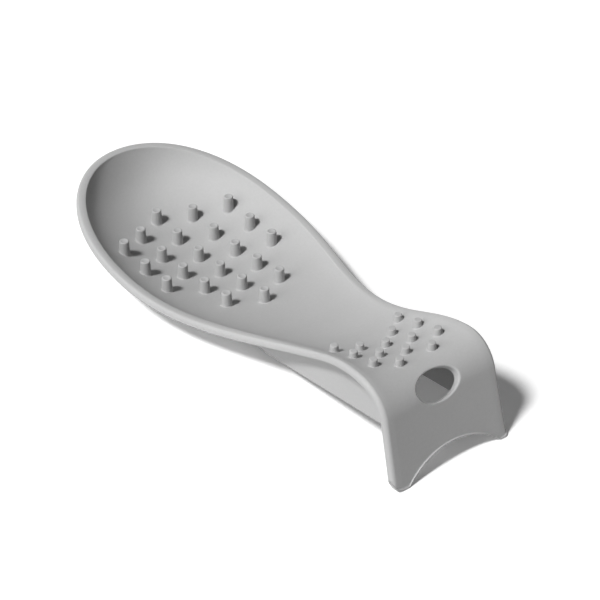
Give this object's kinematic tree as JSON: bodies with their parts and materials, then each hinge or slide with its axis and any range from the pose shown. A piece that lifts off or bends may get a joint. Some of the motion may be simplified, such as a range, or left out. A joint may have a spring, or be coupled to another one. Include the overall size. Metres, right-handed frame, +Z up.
{
  "type": "spoon rest",
  "caption": "Silicone spoon rest with a dished oval bowl, a nubbed floor, a waisted neck and an arched leg with a hanging hole.",
  "frame": {"origin": "on the table, at the middle of the length and of the width over the rim", "axes": "+X runs from the bowl's tip to the feet, +Y lies across, +Z points up from the table"},
  "size_m": [0.2416, 0.095, 0.0439],
  "materials": {
    "silicone": "matte moulded silicone"
  },
  "bodies": {
    "root": {"bowl_shell": "silicone", "bowl_rim": "silicone", "neck_bridge": "silicone", "neck_edges": "silicone", "leg_panel": "silicone", "leg_edges": "silicone", "hole_collar": "silicone", "support_webs": "silicone", "bowl_nubs": "silicone", "neck_nubs": "silicone"}
  },
  "joints": []
}
